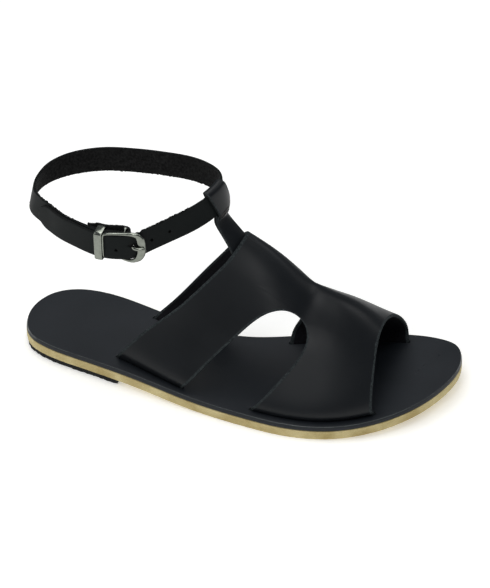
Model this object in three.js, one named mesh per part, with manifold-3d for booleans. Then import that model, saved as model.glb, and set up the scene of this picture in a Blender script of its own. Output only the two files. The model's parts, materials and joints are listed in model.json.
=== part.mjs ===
// A woman's flat leather sandal for the right foot, empty, standing on its sole.
// Millimetres, +X to the toe, +Y to the inner (medial) side, +Z up.
// Every piece is worked out from the named sizes below and from short tables of shares.
import * as THREE from 'three';
import { mergeVertices } from 'three/addons/utils/BufferGeometryUtils.js';
import Module from 'manifold-3d';

const wasm = await Module();
wasm.setup();

// Sole
const soleLength = 254;
const ballWidth = 97;
const soleThickness = 5.5;
const bedThickness = 2.5;
const bedChamfer = 0.7;
const liftLength = 68;
const liftThickness = 3;
const liftInset = 0.6;
const treadStart = 132;        // where the sole comes down to the floor in front of the heel
const springStart = 176;       // where the toe begins to rise
const toeSpring = 8;
const layerGap = 0.3;          // glue line between two stacked layers

// Upper
const upperWall = 2;
const instepHeight = 80;       // top of the upper above the footbed, at the T strap
const slotClearance = 0.3;     // all round a band where it passes through the footbed
const bandBulge = 4;           // how far a band swells out over the rim of the footbed
const bulgeHeight = 7;         // height of the fullest point of that swelling
const innerInset = 16;         // second ring of the sole's surfaces, from the edge

// Ankle strap
const strapWidth = 15.5;
const strapThickness = 1.5;
const strapGap = 0.3;          // between two layers of leather
const metalGap = 0.65;         // between leather and the buckle's parts
const ringLength = 114;
const ringWidth = 66;
const ringHeight = 105.4;       // middle of the strap above the floor, at the ring's centre
const ringAlong = 62;          // ring's centre from the heel
const ringAcross = -6;
const ringPitch = 0.12;        // the ring climbs to the front
const ringRoll = 0.19;         // and to the inner side
const coneBack = 0.3;          // the strap leans in towards its top edge at the heel
const coneFront = 0.12;        // and at the instep
const tipLength = 60;          // free end past the buckle's bar
const foldPast = 6.5;          // strap end turned back round the bar and past the keeper
const holeStart = 1.4;         // slot for the prong in the free end, in front of the bar
const holeLength = 5;
const taperLength = 11;        // point of the free end

// T strap
const teeWidth = 12.8;
const teeThickness = 1.9;
const teeAcross = 8;           // where its middle meets the ring, from the ring's centre line
const teeCentre = 2.7;          // its middle, inward from the shoe's centre line
const teeFootWidth = 15.8;     // where it goes under the upper
const teeUnder = 18;           // length glued under the upper
const teeFlap = 4;             // end sewn down below the ankle strap
const teeGap = 0.6;            // from the ankle strap
const teeUnderGap = 0.9;       // from the upper

// Buckle
const barAlong = 13.6;         // buckle's bar on the ring, in front of the ring's centre
const barRadius = 0.9;
const frontReach = 10.2;       // from the bar to the middle of the front rail
const rearReach = 10.75;       // from the bar to the middle of the rear rail
const frontRailWidth = 4.6;
const railThickness = 1.8;
const sideRailWidth = 2;
const prongRadius = 0.8;
const prongDip = 0.25;
const prongPastRail = 1.9;
const keeperWidth = 4.8;
const keeperWall = 1;
const keeperAlong = 14.4;      // behind the buckle's bar

// Outline of the sole, heel first, round the outer side to the toe and back.
// along: share of soleLength from the heel, across: share of ballWidth from the centre line.
const outline = [
  { along: 0.000, across: 0.030 }, { along: 0.029, across: -0.178 },
  { along: 0.094, across: -0.262 }, { along: 0.204, across: -0.318 },
  { along: 0.327, across: -0.381 }, { along: 0.446, across: -0.440 },
  { along: 0.563, across: -0.479 }, { along: 0.670, across: -0.497 },
  { along: 0.776, across: -0.449 }, { along: 0.870, across: -0.322 },
  { along: 0.957, across: -0.083 }, { along: 0.999, across: 0.214 },
  { along: 0.978, across: 0.424 }, { along: 0.919, across: 0.495 },
  { along: 0.843, across: 0.500 }, { along: 0.739, across: 0.455 },
  { along: 0.625, across: 0.335 }, { along: 0.516, across: 0.226 },
  { along: 0.417, across: 0.198 }, { along: 0.298, across: 0.255 },
  { along: 0.169, across: 0.335 }, { along: 0.079, across: 0.325 },
  { along: 0.022, across: 0.225 },
];

// Distance of the bands' slots from the sole's edge, as shares of ballWidth.
const margins = [
  { along: 0.238, outer: 0.098, inner: 0.062 },
  { along: 0.417, outer: 0.052, inner: 0.060 },
  { along: 0.595, outer: 0.055, inner: 0.062 },
  { along: 0.873, outer: 0.058, inner: 0.064 },
];

// Where the bands pass through the footbed, as shares of soleLength on the sole's edge.
const bands = {
  rear: { outer: [0.244, 0.421], inner: [0.290, 0.442], columns: 5 },
  front: { outer: [0.584, 0.869], inner: [0.593, 0.862], columns: 7 },
};

// Cross sections of the upper. Each half is a curve from its slot to the crown.
// crown: across from the centre line, a share of ballWidth. height: share of instepHeight.
// lean: outward start of the curve, lift: its rise, flat: length of the level top.
const sections = [
  { along: 0.248, crown: 0.04, height: 1.57, outerLean: -0.093, outerLift: 0.30, outerFlat: 0.08,
    innerLean: 0.06, innerLift: 0.22, innerFlat: 0.155 },
  { along: 0.382, crown: 0.06, height: 1.26, outerLean: -0.124, outerLift: 0.30, outerFlat: 0.10,
    innerLean: 0.09, innerLift: 0.35, innerFlat: 0.150 },
  { along: 0.516, crown: 0.08, height: 1.055, outerLean: -0.145, outerLift: 0.29, outerFlat: 0.13,
    innerLean: 0.06, innerLift: 0.43, innerFlat: 0.100 },
  { along: 0.595, crown: 0.06, height: 0.925, outerLean: -0.122, outerLift: 0.29, outerFlat: 0.155,
    innerLean: 0.04, innerLift: 0.43, innerFlat: 0.122 },
  { along: 0.675, crown: 0.045, height: 0.73, outerLean: -0.095, outerLift: 0.30, outerFlat: 0.18,
    innerLean: 0.02, innerLift: 0.43, innerFlat: 0.145 },
  { along: 0.764, crown: 0.040, height: 0.625, outerLean: -0.062, outerLift: 0.36, outerFlat: 0.170,
    innerLean: 0.028, innerLift: 0.48, innerFlat: 0.170 },
  { along: 0.853, crown: 0.035, height: 0.44, outerLean: -0.030, outerLift: 0.45, outerFlat: 0.15,
    innerLean: 0.036, innerLift: 0.53, innerFlat: 0.200 },
];

// Edges of the upper. turn: 0 at the outer slot, 0.5 on the crown, 1 at the inner slot.
const backEdge = [
  { turn: 0.00, along: 0.244 }, { turn: 0.09, along: 0.315 }, { turn: 0.18, along: 0.395 },
  { turn: 0.32, along: 0.482 }, { turn: 0.41, along: 0.511 }, { turn: 0.50, along: 0.520 },
  { turn: 0.59, along: 0.511 }, { turn: 0.73, along: 0.463 }, { turn: 0.85, along: 0.392 },
  { turn: 1.00, along: 0.288 },
];
const frontEdge = [
  { turn: 0.00, along: 0.853 }, { turn: 0.20, along: 0.843 }, { turn: 0.40, along: 0.836 },
  { turn: 0.60, along: 0.838 }, { turn: 0.80, along: 0.845 }, { turn: 1.00, along: 0.860 },
];

// Cut-outs between the two bands: behind is the rear band's edge, ahead the front band's.
const outerCut = [
  { turn: 0.000, behind: 0.421, ahead: 0.584 }, { turn: 0.090, behind: 0.474, ahead: 0.626 },
  { turn: 0.180, behind: 0.534, ahead: 0.666 }, { turn: 0.245, behind: 0.575, ahead: 0.686 },
  { turn: 0.290, behind: 0.608, ahead: 0.688 }, { turn: 0.325, behind: 0.639, ahead: 0.677 },
  { turn: 0.337, behind: 0.661, ahead: 0.661 },
];
const innerCut = [
  { turn: 0.545, behind: 0.674, ahead: 0.674 }, { turn: 0.565, behind: 0.652, ahead: 0.691 },
  { turn: 0.610, behind: 0.628, ahead: 0.699 }, { turn: 0.670, behind: 0.604, ahead: 0.692 },
  { turn: 0.740, behind: 0.572, ahead: 0.674 }, { turn: 0.820, behind: 0.529, ahead: 0.654 },
  { turn: 0.900, behind: 0.486, ahead: 0.627 }, { turn: 1.000, behind: 0.442, ahead: 0.593 },
];
// Rows of the upper's net from the outer slot over the crown to the inner slot.
const outerTurns = [0.022, 0.05, 0.09, 0.135, 0.18, 0.215, 0.245, 0.27, 0.29, 0.31, 0.325];
const bridgeTurns = [0.337, 0.37, 0.405, 0.44, 0.475, 0.51, 0.545];
const innerTurns = [0.555, 0.568, 0.585, 0.61, 0.64, 0.67, 0.705, 0.74, 0.78, 0.82, 0.86, 0.90, 0.94, 0.972];

// The ankle strap seen from above, as shares of ringLength and ringWidth from its centre,
// from the back round the outer side to the front and back along the inner side.
const ring = [
  { along: -0.462, across: 0.080 }, { along: -0.440, across: -0.036 },
  { along: -0.360, across: -0.150 }, { along: -0.289, across: -0.229 },
  { along: -0.218, across: -0.308 }, { along: -0.082, across: -0.397 },
  { along: 0.042, across: -0.430 }, { along: 0.155, across: -0.409 },
  { along: 0.253, across: -0.330 }, { along: 0.351, across: -0.192 },
  { along: 0.422, across: -0.067 }, { along: 0.479, across: 0.083 },
  { along: 0.500, across: 0.205 }, { along: 0.474, across: 0.323 },
  { along: 0.404, across: 0.412 }, { along: 0.297, across: 0.482 },
  { along: 0.148, across: 0.518 }, { along: 0.002, across: 0.534 },
  { along: -0.187, across: 0.522 }, { along: -0.350, across: 0.425 },
  { along: -0.434, across: 0.296 }, { along: -0.456, across: 0.191 },
];

const lerp = THREE.MathUtils.lerp;
const clamp = THREE.MathUtils.clamp;

// Value of one column of a table at a place between its rows, as a smooth curve.
function tableAt(rows, place, column, at) {
  const last = rows.length - 1;
  const x = clamp(at, rows[0][place], rows[last][place]);
  let i = 0;
  while (i < last - 1 && x > rows[i + 1][place]) i += 1;
  const slope = (k) => {
    const a = rows[Math.max(k - 1, 0)];
    const b = rows[Math.min(k + 1, last)];
    return (b[column] - a[column]) / (b[place] - a[place]);
  };
  const span = rows[i + 1][place] - rows[i][place];
  const t = (x - rows[i][place]) / span;
  const t2 = t * t;
  const t3 = t2 * t;
  return (2 * t3 - 3 * t2 + 1) * rows[i][column] + (t3 - 2 * t2 + t) * span * slope(i)
    + (3 * t2 - 2 * t3) * rows[i + 1][column] + (t3 - t2) * span * slope(i + 1);
}

function smoothStep(t) {
  const s = clamp(t, 0, 1);
  return s * s * (3 - 2 * s);
}

// A solid from closed faces: points, and faces as rings of three or four indices.
function bodyFrom(points, faces) {
  const index = [];
  for (const f of faces) {
    index.push(f[0], f[1], f[2]);
    if (f.length === 4) index.push(f[0], f[2], f[3]);
  }
  const geometry = new THREE.BufferGeometry();
  const flat = points.flatMap((p) => [p.x, p.y, p.z]);
  geometry.setAttribute('position', new THREE.Float32BufferAttribute(flat, 3));
  geometry.setIndex(index);
  return geometry;
}

// A sheet with a front and a back skin: every open edge of the faces gets a wall.
function sheetBody(front, back, faces) {
  const count = front.length;
  const open = new Map();
  for (const f of faces) {
    for (let k = 0; k < f.length; k += 1) {
      const a = f[k];
      const b = f[(k + 1) % f.length];
      if (open.has(`${b}_${a}`)) open.delete(`${b}_${a}`);
      else open.set(`${a}_${b}`, [a, b]);
    }
  }
  const all = faces.map((f) => [...f]);
  for (const f of faces) all.push([...f].reverse().map((k) => k + count));
  for (const [a, b] of open.values()) all.push([b, a, a + count, b + count]);
  return bodyFrom([...front, ...back], all);
}

// Skins on both sides of a grid of middle points, half a thickness away along its normals.
function thickGrid(grid, thickness, keep = () => true) {
  const rows = grid.length;
  const columns = grid[0].length;
  const front = [];
  const back = [];
  for (let i = 0; i < rows; i += 1) {
    for (let j = 0; j < columns; j += 1) {
      const along = grid[Math.min(i + 1, rows - 1)][j].clone().sub(grid[Math.max(i - 1, 0)][j]);
      const across = grid[i][Math.min(j + 1, columns - 1)].clone()
        .sub(grid[i][Math.max(j - 1, 0)]);
      const normal = along.cross(across).normalize();
      front.push(grid[i][j].clone().addScaledVector(normal, thickness / 2));
      back.push(grid[i][j].clone().addScaledVector(normal, -thickness / 2));
    }
  }
  const faces = [];
  for (let i = 0; i < rows - 1; i += 1) {
    for (let j = 0; j < columns - 1; j += 1) {
      const a = i * columns + j;
      if (keep(i, j)) faces.push([a, a + columns, a + columns + 1, a + 1]);
    }
  }
  return sheetBody(front, back, faces);
}

// A rod: sections placed along a path, closed on itself or capped at both ends.
function rodBody(sectionList, closed) {
  const sides = sectionList[0].length;
  const points = sectionList.flat();
  const faces = [];
  const steps = closed ? sectionList.length : sectionList.length - 1;
  for (let i = 0; i < steps; i += 1) {
    const a = i * sides;
    const b = ((i + 1) % sectionList.length) * sides;
    for (let k = 0; k < sides; k += 1) {
      const m = (k + 1) % sides;
      faces.push([a + k, a + m, b + m, b + k]);
    }
  }
  if (!closed) {
    const end = (sectionList.length - 1) * sides;
    for (let k = 1; k < sides - 1; k += 1) {
      faces.push([0, k + 1, k]);
      faces.push([end, end + k, end + k + 1]);
    }
  }
  return bodyFrom(points, faces);
}

function facingOut(geometry) {
  const p = geometry.attributes.position;
  const index = geometry.index;
  const [a, b, c] = [new THREE.Vector3(), new THREE.Vector3(), new THREE.Vector3()];
  let volume = 0;
  for (let i = 0; i < index.count; i += 3) {
    a.fromBufferAttribute(p, index.getX(i));
    b.fromBufferAttribute(p, index.getX(i + 1));
    c.fromBufferAttribute(p, index.getX(i + 2));
    volume += a.dot(b.cross(c));
  }
  if (volume < 0) {
    const turned = Array.from(index.array);
    for (let i = 0; i < turned.length; i += 3) {
      [turned[i + 1], turned[i + 2]] = [turned[i + 2], turned[i + 1]];
    }
    geometry.setIndex(turned);
  }
  return geometry;
}

function toManifold(geometry) {
  const bare = geometry.clone();
  bare.deleteAttribute('normal');
  bare.deleteAttribute('uv');
  const merged = facingOut(mergeVertices(bare, 1e-4));
  return new wasm.Manifold(new wasm.Mesh({
    numProp: 3,
    vertProperties: new Float32Array(merged.attributes.position.array),
    triVerts: new Uint32Array(merged.index.array),
  }));
}

function fromManifold(solid) {
  const mesh = solid.getMesh();
  const geometry = new THREE.BufferGeometry();
  geometry.setAttribute('position', new THREE.Float32BufferAttribute(mesh.vertProperties, 3));
  geometry.setIndex(Array.from(mesh.triVerts));
  return geometry;
}

// The sole's outline, split at the heel and the toe into its outer and inner side.
const outlineCurve = new THREE.CatmullRomCurve3(
  outline.map((p) => new THREE.Vector3(p.along * soleLength, p.across * ballWidth, 0)),
  true,
  'centripetal',
);
const outlineSamples = 900;
const outlinePoints = outlineCurve.getPoints(outlineSamples).slice(0, outlineSamples);
const lowest = (pick) => outlinePoints.reduce((m, p, i) => (pick(p) < pick(outlinePoints[m])
  ? i : m), 0);
const heelIndex = lowest((p) => p.x);
const toeIndex = lowest((p) => -p.x);
const heelX = outlinePoints[heelIndex].x;
const toeX = outlinePoints[toeIndex].x;
const sampleAt = (i) => outlinePoints[(i + 2 * outlineSamples) % outlineSamples];

// Point on one side's edge at a distance x from the heel, with the inward direction.
function edgeAt(side, x) {
  const step = side === 'outer' ? 1 : -1;
  let i = heelIndex;
  const place = clamp(x, heelX, toeX);
  while (sampleAt(i + step).x < place && (i + step + outlineSamples) % outlineSamples !== toeIndex) {
    i += step;
  }
  const a = sampleAt(i);
  const b = sampleAt(i + step);
  const t = clamp((place - a.x) / Math.max(b.x - a.x, 1e-9), 0, 1);
  const point = a.clone().lerp(b, t);
  const run = sampleAt(i + 3 * step).clone().sub(sampleAt(i - 2 * step)).normalize();
  const inward = new THREE.Vector3(-run.y, run.x, 0).multiplyScalar(step);
  return { point, inward };
}

// Height of the sole's underside: on the lift, down to the floor, flat, and up to the toe.
function undersideAt(x) {
  const heel = (liftThickness + layerGap) * (1 - smoothStep((x - liftLength)
    / (treadStart - liftLength)));
  const toe = clamp((x - springStart) / (toeX - springStart), 0, 1);
  return heel + toeSpring * toe * toe;
}
const bedBottomAt = (x) => undersideAt(x) + soleThickness + layerGap;
const bedTopAt = (x) => bedBottomAt(x) + bedThickness;

// Stations along each side of the sole, shared by all its layers and by the bands.
const endSteps = 7;
function arcStations(from, to, steps) {
  const list = [];
  for (let k = 1; k < steps; k += 1) {
    list.push(lerp(from, to, 1 - Math.cos((k / steps) * Math.PI / 2)));
  }
  return list;
}
function evenly(from, to, steps) {
  return Array.from({ length: steps + 1 }, (_, k) => lerp(from, to, k / steps));
}
function stationsOf(side) {
  const [r0, r1] = bands.rear[side].map((s) => s * soleLength);
  const [f0, f1] = bands.front[side].map((s) => s * soleLength);
  const rear = evenly(r0, r1, bands.rear.columns);
  const front = evenly(f0, f1, bands.front.columns);
  rear[0] -= slotClearance;
  rear[rear.length - 1] += slotClearance;
  front[0] -= slotClearance;
  front[front.length - 1] += slotClearance;
  return [
    ...arcStations(heelX, r0, endSteps + 1), ...rear,
    lerp(r1, f0, 1 / 3), lerp(r1, f0, 2 / 3), ...front,
    ...arcStations(toeX, f1, endSteps).reverse(),
  ];
}
const stations = { outer: stationsOf('outer'), inner: stationsOf('inner') };
const rearFirst = endSteps;
const frontFirst = rearFirst + bands.rear.columns + 3;

// A closed ring of points, heel, outer side, toe, inner side, moved in from the edge.
function ringAt(inset) {
  const shift = (side, x) => {
    const { point, inward } = edgeAt(side, x);
    const distance = typeof inset === 'number' ? inset : inset(side, x);
    return point.clone().addScaledVector(inward, distance);
  };
  return [
    shift('outer', heelX), ...stations.outer.map((x) => shift('outer', x)),
    shift('outer', toeX), ...[...stations.inner].reverse().map((x) => shift('inner', x)),
  ];
}
const slotWidth = upperWall + 2 * slotClearance;
const marginAt = (side, x) => tableAt(margins, 'along', side, x / soleLength) * ballWidth;

// Faces between two rings, leaving out the slots, and across the middle of the last ring.
function ringFaces(outerStart, innerStart, count, skip = () => false) {
  const faces = [];
  for (let k = 0; k < count; k += 1) {
    const m = (k + 1) % count;
    if (!skip(k)) faces.push([outerStart + k, outerStart + m, innerStart + m, innerStart + k]);
  }
  return faces;
}
function middleFaces(start, count) {
  const faces = [[start, start + 1, start + count - 1]];
  for (let k = 1; k < count / 2 - 1; k += 1) {
    faces.push([start + k, start + k + 1, start + count - k - 1, start + count - k]);
  }
  const toe = start + count / 2;
  faces.push([toe - 1, toe, toe + 1]);
  return faces;
}
function lifted(points, heightAt) {
  return points.map((p) => new THREE.Vector3(p.x, p.y, heightAt(p.x)));
}

function makeOutsole() {
  const plan = [...ringAt(0), ...ringAt(innerInset)];
  const count = plan.length / 2;
  const faces = [...ringFaces(0, count, count), ...middleFaces(count, count)];
  const top = lifted(plan, (x) => undersideAt(x) + soleThickness);
  return sheetBody(top, lifted(plan, undersideAt), faces);
}

function makeFootbed() {
  const slotOuter = (side, x) => marginAt(side, x);
  const slotInner = (side, x) => marginAt(side, x) + slotWidth;
  const rings = [0, slotOuter, slotInner, innerInset + 4];
  const plan = rings.flatMap((inset) => ringAt(inset));
  const count = plan.length / rings.length;
  const half = count / 2;
  const inSlot = (k) => {
    const place = k < half ? k : count - 1 - k;
    const rear = place >= rearFirst + 1 && place < rearFirst + 1 + bands.rear.columns;
    const front = place >= frontFirst + 1 && place < frontFirst + 1 + bands.front.columns;
    return rear || front;
  };
  const faces = [
    ...ringFaces(0, count, count), ...ringFaces(count, 2 * count, count, inSlot),
    ...ringFaces(2 * count, 3 * count, count), ...middleFaces(3 * count, count),
  ];
  const topPlan = [...ringAt(bedChamfer), ...plan.slice(count)];
  return sheetBody(lifted(topPlan, bedTopAt), lifted(plan, bedBottomAt), faces);
}

function makeLift() {
  const steps = 9;
  const places = [...arcStations(heelX, liftLength, steps), liftLength];
  const shift = (side, x) => {
    const { point, inward } = edgeAt(side, x);
    return point.clone().addScaledVector(inward, x < liftLength ? liftInset : 0);
  };
  const plan = [
    shift('outer', heelX), ...places.map((x) => shift('outer', x)),
    ...places.reverse().map((x) => shift('inner', x)),
  ];
  const last = plan.length - 1;
  for (const k of [steps, steps + 1]) plan[k].y -= Math.sign(plan[k].y) * liftInset;
  const faces = [[0, 1, last]];
  for (let k = 1; k < steps; k += 1) faces.push([k, k + 1, last - k, last - k + 1]);
  return sheetBody(lifted(plan, () => liftThickness), lifted(plan, () => 0), faces);
}

// Middle of a band's slot beside the sole's edge, at the edge's place x.
function slotAt(side, x) {
  const { point, inward } = edgeAt(side, x);
  const middle = point.clone().addScaledVector(inward, marginAt(side, x) + slotWidth / 2);
  return { middle, inward };
}

// Slots' middle line as a function of its own x, for sections anywhere along the foot.
const slotLines = {};
for (const side of ['outer', 'inner']) {
  slotLines[side] = evenly(0.2 * soleLength, 0.93 * soleLength, 120)
    .map((x) => slotAt(side, x).middle);
}
function slotLineAt(side, x) {
  const line = slotLines[side];
  let i = 0;
  while (i < line.length - 2 && line[i + 1].x < x) i += 1;
  const t = (x - line[i].x) / (line[i + 1].x - line[i].x);
  return lerp(line[i].y, line[i + 1].y, t);
}

// The upper's outer face: x from the heel, turn from the outer slot over the crown.
function upperAt(x, turn) {
  const share = x / soleLength;
  const column = (name) => tableAt(sections, 'along', name, share);
  const outer = turn <= 0.5;
  const out = outer ? -1 : 1;
  const name = outer ? 'outer' : 'inner';
  const t = outer ? turn * 2 : (1 - turn) * 2;
  const floor = bedTopAt(x);
  const rise = column('height') * instepHeight;
  const foot = slotLineAt(name, x) + out * upperWall / 2;
  const crown = column('crown') * ballWidth;
  const lean = foot + out * column(`${name}Lean`) * ballWidth;
  const flat = crown + out * column(`${name}Flat`) * ballWidth;
  const s = 1 - t;
  const y = s * s * s * foot + 3 * s * s * t * lean + 3 * s * t * t * flat + t * t * t * crown;
  const height = 3 * s * s * t * column(`${name}Lift`) * rise + 3 * s * t * t * rise
    + t * t * t * rise;
  const swell = bandBulge * (height / bulgeHeight) * Math.exp(1 - height / bulgeHeight);
  return new THREE.Vector3(x, y + out * swell, floor + height);
}
function upperNormal(x, turn) {
  const dx = 0.5;
  const dt = 0.004;
  const a = upperAt(x + dx, turn).sub(upperAt(x - dx, turn));
  const low = Math.max(turn - dt, 0);
  const high = Math.min(turn + dt, 1);
  const b = upperAt(x, high).sub(upperAt(x, low));
  return a.cross(b).normalize();
}

const edgeOf = (rows, column, turn) => tableAt(rows, 'turn', column, turn) * soleLength;

// Places of one row of the upper's net, rear part and front part.
function upperRow(turn) {
  const back = edgeOf(backEdge, 'along', turn);
  const front = edgeOf(frontEdge, 'along', turn);
  const cut = turn <= 0.5 ? outerCut : innerCut;
  const inBridge = turn >= outerCut[outerCut.length - 1].turn && turn <= innerCut[0].turn;
  const tips = [outerCut[outerCut.length - 1], innerCut[0]];
  const share = clamp((turn - tips[0].turn) / (tips[1].turn - tips[0].turn), 0, 1);
  const seam = lerp(tips[0].behind, tips[1].behind, share) * soleLength;
  const behind = inBridge ? seam : edgeOf(cut, 'behind', turn);
  const ahead = inBridge ? seam : edgeOf(cut, 'ahead', turn);
  return {
    inBridge,
    rear: evenly(back, behind, bands.rear.columns),
    front: evenly(ahead, front, bands.front.columns),
  };
}

function makeUpper() {
  const outer = [];
  const inner = [];
  const faces = [];
  const add = (point, normal) => {
    outer.push(point);
    inner.push(point.clone().addScaledVector(normal, -upperWall));
    return outer.length - 1;
  };
  const rows = [];
  // The two ends of a band stand upright in their slots.
  const footRow = (side, heightAt, part) => {
    const { [side]: span, columns } = bands[part];
    return evenly(span[0] * soleLength, span[1] * soleLength, columns).map((x) => {
      const { middle, inward } = slotAt(side, x);
      const point = middle.clone().addScaledVector(inward, -upperWall / 2);
      point.z = heightAt(middle.x);
      return add(point, inward.clone().negate());
    });
  };
  const slotRows = (side, heights) => {
    for (const heightAt of heights) {
      rows.push({ rear: footRow(side, heightAt, 'rear'), front: footRow(side, heightAt, 'front') });
    }
  };
  const foot = (x) => bedBottomAt(x);
  const brim = (x) => bedTopAt(x) + slotClearance;
  slotRows('outer', [foot, brim]);
  for (const turn of [...outerTurns, ...bridgeTurns, ...innerTurns]) {
    const places = upperRow(turn);
    const put = (x) => add(upperAt(x, turn), upperNormal(x, turn));
    const rear = places.rear.map(put);
    const front = places.inBridge ? [rear[rear.length - 1], ...places.front.slice(1).map(put)]
      : places.front.map(put);
    rows.push({ rear, front });
  }
  slotRows('inner', [brim, foot]);
  for (let i = 0; i < rows.length - 1; i += 1) {
    for (const part of ['rear', 'front']) {
      const a = rows[i][part];
      const b = rows[i + 1][part];
      for (let j = 0; j < a.length - 1; j += 1) faces.push([a[j], a[j + 1], b[j + 1], b[j]]);
    }
  }
  return sheetBody(outer, inner, faces);
}

// Place on the ankle strap: forward and inward on the tilted ring, and up its slight cone.
const ringForward = new THREE.Vector3(1, 0, ringPitch).normalize();
const ringInward = new THREE.Vector3(-ringPitch, -ringRoll, 1).normalize().cross(ringForward);
const ringCentre = new THREE.Vector3(ringAlong, ringAcross, ringHeight);
function ringPlace(x, y, z) {
  const reach = 2 * x / ringLength;
  const up = new THREE.Vector3(-(reach < 0 ? coneBack : coneFront) * reach ** 3, 0, 1);
  return ringCentre.clone().addScaledVector(ringForward, x).addScaledVector(ringInward, y)
    .addScaledVector(up.normalize(), z);
}
const ringCurve = new THREE.CatmullRomCurve3(
  ring.map((p) => new THREE.Vector3(p.along * ringLength, p.across * ringWidth, 0)),
  true,
  'centripetal',
);
ringCurve.arcLengthDivisions = 600;
const ringRound = ringCurve.getLength();

// A place on the ring by its share of the way round: point and outward direction.
function ringAtShare(share) {
  const u = ((share % 1) + 1) % 1;
  const point = ringCurve.getPointAt(u);
  const run = ringCurve.getTangentAt(u);
  return { point, out: new THREE.Vector3(run.y, -run.x, 0), run };
}
// The share of the way round where the outer side's strap is this far in front of the centre.
function ringShareAt(test, from, to) {
  let low = from;
  let high = to;
  for (let k = 0; k < 40; k += 1) {
    const middle = (low + high) / 2;
    if (test(ringAtShare(middle).point)) high = middle;
    else low = middle;
  }
  return (low + high) / 2;
}
const barShare = ringShareAt((p) => p.x > barAlong, 0.15, 0.42);
const teeShare = ringShareAt((p) => p.y > teeAcross, 0.42, 0.56);

// Offsets of the strap's layers from the ring at the buckle.
const layerStep = strapThickness + strapGap;
const foldRadius = strapThickness / 2 + metalGap + barRadius;
const barOffset = -foldRadius;
// The turned-back end passes behind the keeper, which holds the other two layers.
const underKeeper = strapThickness + 2 * metalGap + keeperWall;

// Stretch of the strap by distance from the bar, back towards the heel, and offset outward.
function strapPoint(distance, offset) {
  const { point, out } = ringAtShare(barShare - distance / ringRound);
  return point.clone().addScaledVector(out, offset);
}

// Rows across the strap, as shares of its width; the middle strip carries the prong's slots.
const strapRows = [-0.5, -0.39, -0.085, 0.085, 0.39, 0.5];
const slotStrip = 2;

// Rise of the free end from the ring to its place over the fold, a mm in front of the bar.
const climb = 26;
const climbEnd = 4;
const freeOffset = (a) => layerStep * smoothStep((climb - a) / (climb - climbEnd));

// Middle line of the strap: turned-back end, fold round the bar, once round the ankle,
// up over the fold and on to the tip.
function strapLine() {
  const line = [];
  const put = (distance, offset, slot = false, width = 1) => {
    line.push({ place: strapPoint(distance, offset), slot, width });
  };
  const foldSlot = barRadius + 2 * (strapGap + prongRadius) + strapGap;
  const keeperEnds = [keeperAlong - keeperWidth / 2, keeperAlong + keeperWidth / 2];
  const inside = (d) => (d < keeperEnds[0]
    ? -lerp(2 * foldRadius, underKeeper, smoothStep(d / keeperEnds[0]))
    : -lerp(underKeeper, layerStep, smoothStep((d - keeperEnds[1] - strapGap) / (0.75 * foldPast))));
  const foldEnd = keeperEnds[1] + foldPast;
  for (const d of [...evenly(foldEnd, keeperEnds[1] + 2 * strapGap, 5), ...evenly(...keeperEnds, 1)
    .reverse(), lerp(keeperEnds[0], foldSlot, 1 / 3), lerp(keeperEnds[0], foldSlot, 2 / 3)]) {
    put(d, inside(d));
  }
  put(foldSlot, inside(foldSlot), true);
  put(0, -2 * foldRadius, true);
  const { point, out, run } = ringAtShare(barShare);
  const bar = point.clone().addScaledVector(out, barOffset);
  const turns = 6;
  for (let k = 1; k < turns; k += 1) {
    const angle = (k / turns) * Math.PI;
    const place = bar.clone().addScaledVector(out, -foldRadius * Math.cos(angle))
      .addScaledVector(run, foldRadius * Math.sin(angle));
    line.push({ place, slot: true, width: 1 });
  }
  put(0, 0, true);
  const ankleSteps = 54;
  for (const d of evenly(foldSlot, ringRound - holeStart - holeLength, ankleSteps)) {
    put(d, freeOffset(ringRound - d), false);
  }
  line[line.length - 1].slot = true;
  for (const d of evenly(ringRound - holeStart, ringRound + tipLength - taperLength, 9)) {
    put(d, layerStep * smoothStep((d - ringRound + climb) / (climb - climbEnd)));
  }
  for (const [share, width] of [[0.35, 0.97], [0.65, 0.82], [0.87, 0.58], [1, 0.34]]) {
    put(ringRound + tipLength - taperLength * (1 - share), layerStep, false, width);
  }
  return line;
}

function makeAnkleStrap() {
  const line = strapLine();
  const grid = line.map(({ place, width }) => strapRows.map((share) => (
    ringPlace(place.x, place.y, share * width * strapWidth))));
  return thickGrid(grid, strapThickness, (i, j) => !(line[i].slot && j === slotStrip));
}

// The T strap: glued under the upper, up behind the ankle strap, over it and down in front.
const teeRows = [-0.5, -0.25, 0, 0.25, 0.5];
const teeStep = strapThickness / 2 + teeGap + teeThickness / 2;
const teeSkew = 0.25;
const teeLean = 0.36;
const teeLeanFrom = 0.3 * strapWidth;

function teeLoopPoint(across, outward, up) {
  const { point, out } = ringAtShare(teeShare + across / ringRound);
  return ringPlace(point.x + out.x * outward, point.y + out.y * outward, up);
}
// Point under the upper: at x and y, a wall and a gap below the upper's outer face.
function underUpper(x, y, depth) {
  let low = 0.2;
  let high = 0.8;
  for (let k = 0; k < 40; k += 1) {
    const turn = (low + high) / 2;
    if (upperAt(x, turn).y > y) high = turn;
    else low = turn;
  }
  const turn = (low + high) / 2;
  return upperAt(x, turn).addScaledVector(upperNormal(x, turn), -depth);
}

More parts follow.
